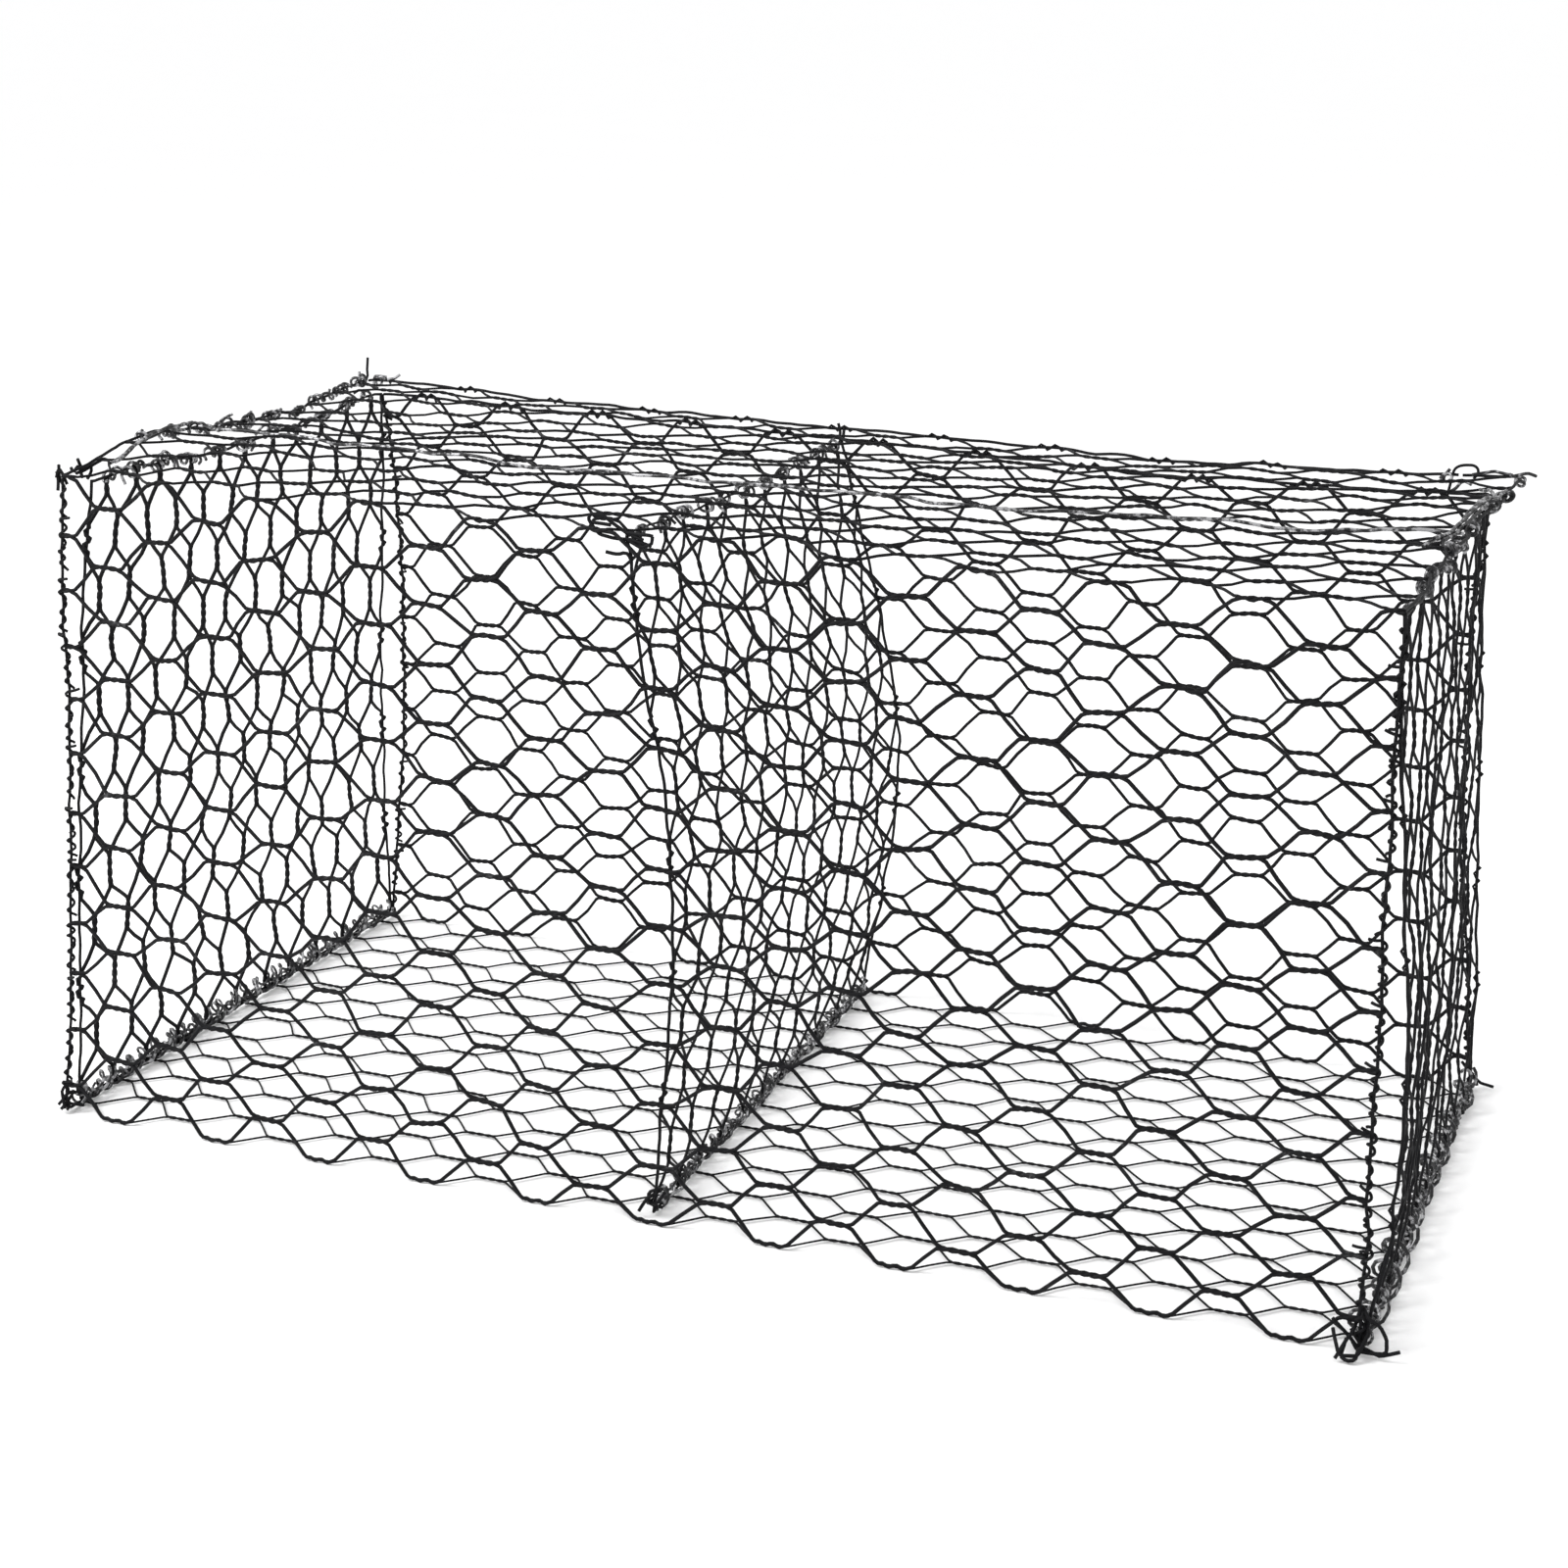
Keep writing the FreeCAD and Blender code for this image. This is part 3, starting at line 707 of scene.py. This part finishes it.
post, foot = edge["dividerPost"], edge["dividerFoot"] + endRuns["dividerFootRise"]
looped.append(winding([(0, -post, foot), (0, post, foot)], endRuns["foot"], up,
                      70, dividerSettle, **footEnds))
inner = post - endRuns["topInset"]
looped.append(winding([(0, -inner, edge["top"]), (0, inner, edge["top"])], endRuns["dividerTop"],
                      down, 80, dividerSettle, **sparseEnds))
place(gather("basketWindings", wound), "basket", "mesh_wire")
place(gather("basketLoops", looped), "basket", "lacing_wire")
place(gather("lidLoops", lidLooped), "lid", "lacing_wire")
print("wire ends wound")


# loose tails and knots at the corners: each group's share of the settling, then each wire's bends
tailSizes = {"radius": 0.0026, "bend": 0.006, "tremor": 0.0006, "step": 0.005}
basketTails = {
    "frontLeftFoot": (wallSettle, [
        [(-0.996, -0.480, 0.030), (-0.998, -0.492, 0.020), (-1.004, -0.504, 0.008)],
        [(-0.988, -0.470, 0.024), (-1.000, -0.487, 0.030), (-1.012, -0.499, 0.012)],
        [(-0.994, -0.497, 0.052), (-1.004, -0.502, 0.036), (-0.997, -0.504, 0.010)],
        [(-0.975, -0.485, 0.012), (-0.992, -0.497, 0.016), (-1.010, -0.493, 0.026),
         (-1.015, -0.483, 0.018)],
    ]),
    "frontRightFoot": (wallSettle, [
        [(0.985, -0.490, 0.030), (1.004, -0.504, 0.012), (1.026, -0.510, 0.007),
         (1.050, -0.508, 0.017)],
        [(0.994, -0.470, 0.050), (0.990, -0.506, 0.034), (0.974, -0.533, 0.006)],
        [(0.966, -0.505, 0.034), (0.978, -0.530, 0.009), (1.002, -0.526, 0.010),
         (1.010, -0.500, 0.030), (1.000, -0.485, 0.050)],
        [(1.000, -0.490, 0.062), (1.009, -0.506, 0.054), (1.024, -0.510, 0.046),
         (1.033, -0.510, 0.031), (1.035, -0.510, 0.012), (1.018, -0.510, 0.009),
         (0.999, -0.508, 0.008), (0.990, -0.502, 0.018)],
        [(0.965, -0.506, 0.047), (0.981, -0.503, 0.030), (0.997, -0.500, 0.010)],
        [(0.984, -0.512, 0.026), (0.980, -0.528, 0.006), (0.990, -0.534, 0.005),
         (0.999, -0.531, 0.006), (1.001, -0.514, 0.014)],
    ]),
    "backRightFoot": (wallSettle, [
        [(0.998, 0.478, 0.070), (1.000, 0.492, 0.030), (1.012, 0.499, 0.012),
         (1.032, 0.500, 0.008)],
        [(0.988, 0.490, 0.048), (1.004, 0.500, 0.020), (1.008, 0.492, 0.010)],
    ]),
    "frontLeftTop": (wallSettle, [
        [(-0.994, -0.490, 0.990), (-1.002, -0.493, 1.008), (-1.008, -0.490, 1.016),
         (-1.012, -0.494, 0.998)],
        [(-1.004, -0.484, 0.984), (-1.010, -0.490, 1.000), (-1.004, -0.494, 1.018)],
        [(-1.006, -0.500, 0.980), (-1.009, -0.494, 0.996), (-1.014, -0.488, 1.006)],
        [(-1.007, -0.454, 1.008), (-1.009, -0.447, 0.995), (-1.006, -0.436, 1.017),
         (-1.008, -0.428, 0.989)],
        [(-1.006, -0.436, 1.017), (-1.010, -0.420, 0.997), (-1.005, -0.414, 1.010),
         (-1.009, -0.402, 0.994), (-1.007, -0.418, 0.985)],
        [(-1.004, -0.447, 0.999), (-1.010, -0.412, 0.999), (-1.006, -0.381, 1.005),
         (-1.009, -0.361, 1.000)],
    ]),
    "dividerFrontTop": (dividerSettle, [
        [(0.000, -0.497, 0.962), (-0.004, -0.498, 0.974), (-0.016, -0.4985, 0.970),
         (-0.035, -0.499, 0.971)],
        [(-0.056, -0.497, 1.016), (-0.052, -0.4975, 1.0245), (-0.030, -0.498, 1.024),
         (-0.012, -0.499, 1.013), (0.003, -0.499, 1.002), (0.0235, -0.4985, 0.994)],
        [(-0.056, -0.497, 1.016), (-0.047, -0.498, 1.0045), (-0.038, -0.499, 0.996),
         (-0.018, -0.4995, 0.995), (0.006, -0.499, 0.994), (0.035, -0.4975, 0.985)],
        [(-0.047, -0.4995, 1.013), (-0.019, -0.5005, 1.013)],
        [(-0.041, -0.500, 1.002), (-0.018, -0.501, 1.003)],
        [(0.000, -0.4995, 1.003), (0.035, -0.499, 1.002), (0.041, -0.497, 1.000)],
        [(0.003, -0.500, 0.993), (0.018, -0.4995, 0.982), (0.038, -0.499, 0.989),
         (0.040, -0.497, 1.000)],
    ]),
    "dividerBackTop": (dividerSettle, [
        [(0.0, 0.484, 0.992), (-0.004, 0.492, 1.010), (-0.010, 0.494, 1.024)],
        [(0.006, 0.488, 0.998), (0.002, 0.496, 1.018)],
    ]),
    "dividerFrontFoot": (dividerSettle, [
        [(0.004, -0.480, 0.040), (-0.010, -0.500, 0.028), (-0.018, -0.508, 0.010)],
        [(-0.012, -0.488, 0.016), (0.008, -0.506, 0.026), (0.014, -0.496, 0.044)],
        [(0.010, -0.486, 0.012), (-0.006, -0.498, 0.020), (-0.012, -0.492, 0.036),
         (0.004, -0.488, 0.044)],
    ]),
}
lidTails = {
    "backLeft": (lidSettle, [
        [(-0.985, 0.494, 1.005), (-0.974, 0.500, 1.008), (-0.962, 0.500, 1.018)],
        [(-0.998, 0.470, 1.006), (-1.006, 0.488, 1.012), (-0.992, 0.502, 1.010)],
    ]),
    "frontLeft": (lidSettle, [
        [(-0.961, -0.418, 1.0035), (-0.9975, -0.160, 1.003)],
        [(-0.955, -0.412, 1.0050), (-0.994, -0.145, 1.014)],
    ]),
    "backRight": (lidSettle, [
        [(0.930, 0.490, 1.006), (0.958, 0.500, 1.012), (0.985, 0.496, 1.006)],
        [(0.986, 0.480, 1.008), (1.006, 0.492, 1.010), (1.018, 0.504, 1.004)],
    ]),
    "hookKnot": (lidSettle, [
        [(0.884, 0.490, 0.998), (0.893, 0.500, 1.009), (0.904, 0.491, 1.000), (0.895, 0.487, 0.990),
         (0.886, 0.499, 0.996), (0.896, 0.5005, 1.012)],
        [(0.896, 0.493, 0.974), (0.908, 0.488, 0.982), (0.918, 0.492, 0.996),
         (0.930, 0.488, 0.990)],
    ]),
    "rightBundle": (lidSettle, [
        [(0.969, -0.100, 1.008), (0.985, 0.060, 1.013), (0.992, 0.310, 1.012),
         (0.984, 0.345, 1.006)],
        [(0.974, -0.080, 1.005), (0.992, 0.080, 1.009), (0.998, 0.330, 1.014)],
        [(0.962, -0.130, 1.004), (0.979, 0.030, 1.007), (0.986, 0.200, 1.016),
         (0.997, 0.260, 1.010)],
        [(0.958, 0.395, 1.004), (0.975, 0.330, 1.014), (0.995, 0.240, 1.012)],
    ]),
    "ridge": (lidSettle, [
        [(-0.990, -0.135, 1.0065), (-0.450, -0.119, 1.006), (0.0, -0.112, 1.0065),
         (0.434, -0.099, 1.006), (0.990, -0.020, 1.0065)],
    ]),
}


def tails(table, finish):
    return [
        edgeWire(points, 30.0 + number, settle, finish, **tailSizes)
        for settle, spots in table.values() for number, points in enumerate(spots)
    ]


place(gather("basketTails", tails(basketTails, edgeFinish)), "basket", "edge_wire")
place(gather("lidTails", tails(lidTails, lacingWearAndHighlightFinish)), "lid", "lacing_wire")
print("tails bent")


# lacing at the feet of the three cross walls: loose loops in three layers
lacingSizes = {
    "end": 0.485, "steps": 12, "sides": 6, "looseness": 0.0026, "firstPhase": 1.0, "phaseStep": 2.2,
    "wobbleRate": 0.9, "wobbleOffset": 17.3,  # along the noise: by loop, and from run to run
    "radiusSwing": 3, "acrossSwing": 4, "alongSwing": 6,  # times the looseness
    "doubling": 0.004,  # every second loop is shifted along
}


def lacingTree(sizes):
    start, given = startTree("lacing", {
        "Loops": ("Int", 70), "Steps": ("Int", 10), "Loop Radius": ("Float", 0.009),
        "Wire Radius": ("Float", 0.0016), "Looseness": ("Float", 0.003), "Taper": ("Float", 0.0),
        "Phase": ("Float", 0.0), "Seed": ("Float", 0.0), "Finish": ("Material", None),
        **settleInputs,
    })
    path = start.node("GeometryNodeMeshToCurve", inputs={"Mesh": given["Geometry"]})
    path = start.node("GeometryNodeResampleCurve", {"mode": "COUNT"}, {
        "Curve": path, "Count": given["Loops"] * given["Steps"] + 1})
    index = start.node("GeometryNodeSplineParameter", out="Index")
    turn = index / given["Steps"]
    wobble = start.node("ShaderNodeTexNoise", {"noise_dimensions": "1D"}, {
        "W": turn * sizes["wobbleRate"] + given["Seed"] * sizes["wobbleOffset"],
        "Scale": 1.0, "Detail": 1.0}, out=1)
    along, across, size = wobble.vector("SUBTRACT", wobble, noiseMiddle).parts()
    angle = turn * (2 * math.pi) + given["Phase"]
    y = start.node("GeometryNodeInputPosition").parts()[1]
    radius = given["Loop Radius"] * (1 - y * given["Taper"])
    radius = radius + size * given["Looseness"] * sizes["radiusSwing"]
    shift = start.join(
        angle.cosine() * radius + across * given["Looseness"] * sizes["acrossSwing"],
        along * given["Looseness"] * sizes["alongSwing"] + (angle * 0.5).sine() * sizes["doubling"],
        angle.sine() * radius,
    )
    curve = start.node("GeometryNodeSetPosition", inputs={"Geometry": path, "Offset": shift})
    return endTree(start, roundWire(start, given, curve, sizes["sides"]))


leftLoops = (  # loops, radius, wire, height of the middle
    (34, 0.0095, 0.0024, 0.0160), (26, 0.0090, 0.0022, 0.0290), (16, 0.0140, 0.0024, 0.0240),
)
middleLoops = (
    (34, 0.0072, 0.0019, 0.0140), (26, 0.0070, 0.0018, 0.0280), (15, 0.0125, 0.0019, 0.0215),
)
rightLoops = (
    (12, 0.0185, 0.0028, 0.0290), (15, 0.0120, 0.0025, 0.0330), (26, 0.0072, 0.0022, 0.0150),
)
lacings = lacingTree(lacingSizes)
laced = []
for number, (x, settle, taper, layers) in enumerate((
    (-0.9945, {**leftEndSettle, "Bulge": 0.030}, 0.2, leftLoops),
    (0.0, dividerSettle, 0.2, middleLoops),
    (0.9945, rightEndSettle, 0.5, rightLoops),
)):
    for layer, (loops, radius, wire, height) in enumerate(layers):
        laced.append(grow("lacing", lacings, {
            "Loops": loops, "Steps": lacingSizes["steps"], "Loop Radius": radius,
            "Wire Radius": wire, "Taper": taper, "Looseness": lacingSizes["looseness"],
            "Phase": lacingSizes["firstPhase"] + layer * lacingSizes["phaseStep"],
            "Seed": 1.0 + number * 3 + layer, "Finish": lacingWearAndHighlightFinish, **settle,
        }, [(x, -lacingSizes["end"], height), (x, lacingSizes["end"], height)]))
place(gather("footLacing", laced), "basket", "lacing_wire",
      "left_end_lacing", "diaphragm_lacing", "right_end_lacing")
print("feet laced")


# stage, light and camera
stageSizes = {
    "half": 900.0, "mottleScale": 0.6, "rough": 0.9, "shine": 0.1, "world": 1.04,
    "tones": [(0.0, (0.955, 0.955, 0.957, 1)), (1.0, (0.965, 0.965, 0.966, 1))],
}
lampSizes = {"spot": (-3.4, -2.6, 4.6), "aim": (0.0, 0.0, 0.4), "watts": 300.0, "size": 3.0}


def stageFinish(look):
    material = bpy.data.materials.new("paleFloor")
    material.use_nodes = True
    tree = material.node_tree
    tree.nodes.clear()
    start = Flow(tree)
    spot = start.node("ShaderNodeTexCoord", out="Object")
    mottle = start.node("ShaderNodeTexNoise", inputs={
        "Vector": spot, "Scale": look["mottleScale"], "Detail": 2.0})
    tone = start.node("ShaderNodeValToRGB", {"stops": look["tones"]}, {"Fac": mottle})
    shader = start.node("ShaderNodeBsdfPrincipled", inputs={
        "Base Color": tone, "Roughness": look["rough"], "Specular IOR Level": look["shine"]})
    end = tree.nodes.new("ShaderNodeOutputMaterial")
    tree.links.new(shader.socket, end.inputs["Surface"])
    return material


floorMesh = bpy.data.meshes.new("floor")
half = stageSizes["half"]
floorMesh.from_pydata([(-half, -half, 0), (half, -half, 0), (half, half, 0), (-half, half, 0)], [],
                      [(0, 1, 2, 3)])
floorMesh.materials.append(stageFinish(stageSizes))
floor = bpy.data.objects.new("floor", floorMesh)
bpy.context.scene.collection.objects.link(floor)

world = bpy.data.worlds.new("studio")
world.use_nodes = True
world.node_tree.nodes["Background"].inputs["Color"].default_value = (1.0, 1.0, 1.0, 1)
world.node_tree.nodes["Background"].inputs["Strength"].default_value = stageSizes["world"]
bpy.context.scene.world = world
bpy.context.scene.view_settings.view_transform = "Standard"

lampData = bpy.data.lights.new("keyLamp", "AREA")
lampData.energy = lampSizes["watts"]
lampData.size = lampSizes["size"]
lamp = bpy.data.objects.new("keyLamp", lampData)
lamp.location = lampSizes["spot"]
lamp.rotation_mode = "QUATERNION"
fromAim = Vector(lampSizes["spot"]) - Vector(lampSizes["aim"])
lamp.rotation_quaternion = fromAim.to_track_quat("Z", "Y")
bpy.context.scene.collection.objects.link(lamp)

cameraSizes = {
    "spot": (1.524, -3.959, 1.733), "azimuth": 22.54, "elevation": 12.82, "roll": 0.83,
    "focalPixels": 2893.0, "framePixels": 1600.0, "sensor": 36.0, "shift": (0.0375, -0.1),
}
azimuth, elevation, roll = (
    math.radians(cameraSizes[key]) for key in ("azimuth", "elevation", "roll"))
backward = Vector((
    math.sin(azimuth) * math.cos(elevation), -math.cos(azimuth) * math.cos(elevation),
    math.sin(elevation)))
level = Vector((0, 0, 1)).cross(backward).normalized()
upright = backward.cross(level)
sideAxis = level * math.cos(roll) + upright * math.sin(roll)
upAxis = upright * math.cos(roll) - level * math.sin(roll)
cameraData = bpy.data.cameras.new("camera")
cameraData.sensor_width = cameraSizes["sensor"]
cameraData.lens = cameraSizes["focalPixels"] / cameraSizes["framePixels"] * cameraSizes["sensor"]
cameraData.shift_x, cameraData.shift_y = cameraSizes["shift"]
camera = bpy.data.objects.new("camera", cameraData)
turned = Matrix((sideAxis, upAxis, backward)).transposed().to_4x4()
camera.matrix_world = Matrix.Translation(cameraSizes["spot"]) @ turned
bpy.context.scene.collection.objects.link(camera)
bpy.context.scene.camera = camera
print("stage, light and camera set")
